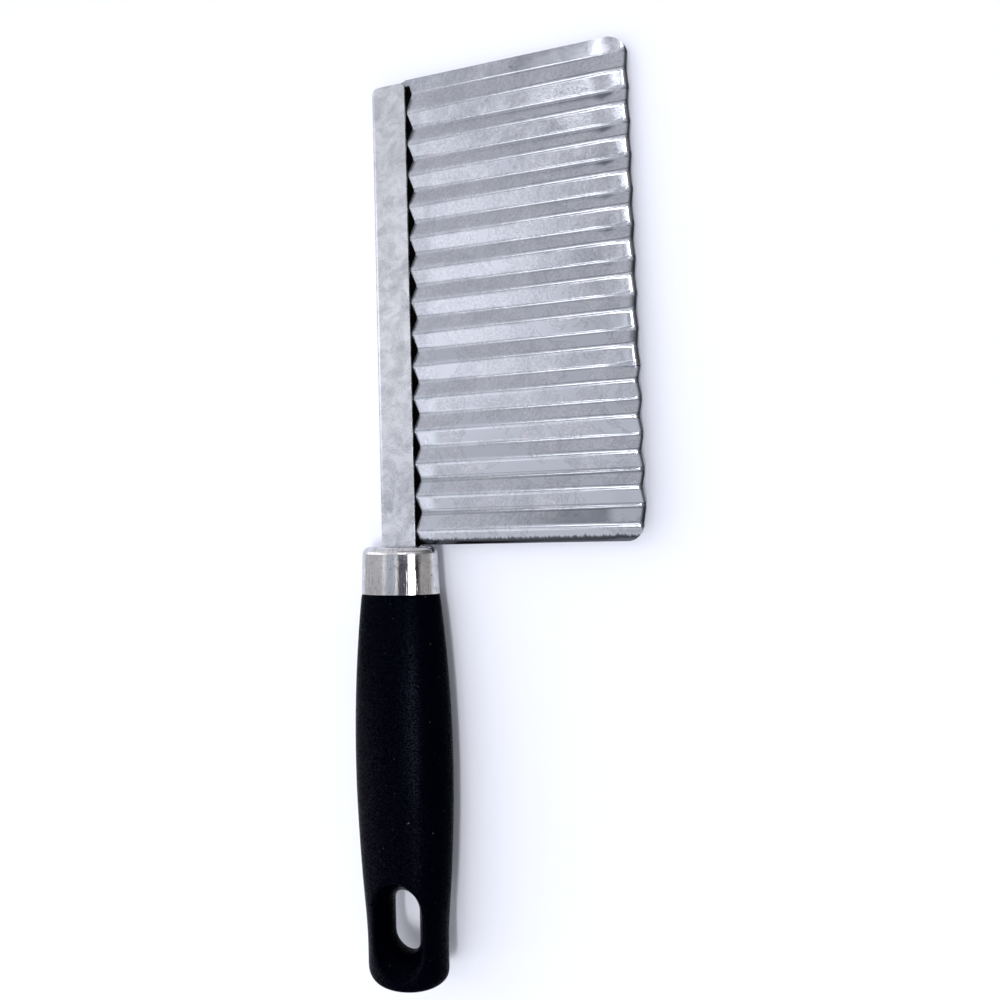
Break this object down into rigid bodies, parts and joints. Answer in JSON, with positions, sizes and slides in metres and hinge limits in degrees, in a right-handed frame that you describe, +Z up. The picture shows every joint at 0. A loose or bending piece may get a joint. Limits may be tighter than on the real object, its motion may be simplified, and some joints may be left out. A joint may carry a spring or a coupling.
{
  "type": "crinkle cutter",
  "caption": "Crinkle cutter with a wide corrugated steel blade, a folded steel spine, a steel ferrule and an oval black handle with a hang slot.",
  "frame": {"origin": "middle of the bottom of the bounding box, on the table that the cutter lies on", "axes": "+X from the handle's side toward the cutting edge, +Y from the butt toward the toe, +Z up from the table"},
  "size_m": [0.0953, 0.2887, 0.0197],
  "materials": {
    "blade_steel": "satin stainless sheet, bright along the bends",
    "spine_steel": "satin stainless strip",
    "ferrule_steel": "polished drawn stainless steel",
    "handle_plastic": "fine matte moulded grain"
  },
  "bodies": {
    "root": {"blade": "blade_steel", "spine": "spine_steel", "ferrule": "ferrule_steel", "handle": "handle_plastic"}
  },
  "joints": []
}
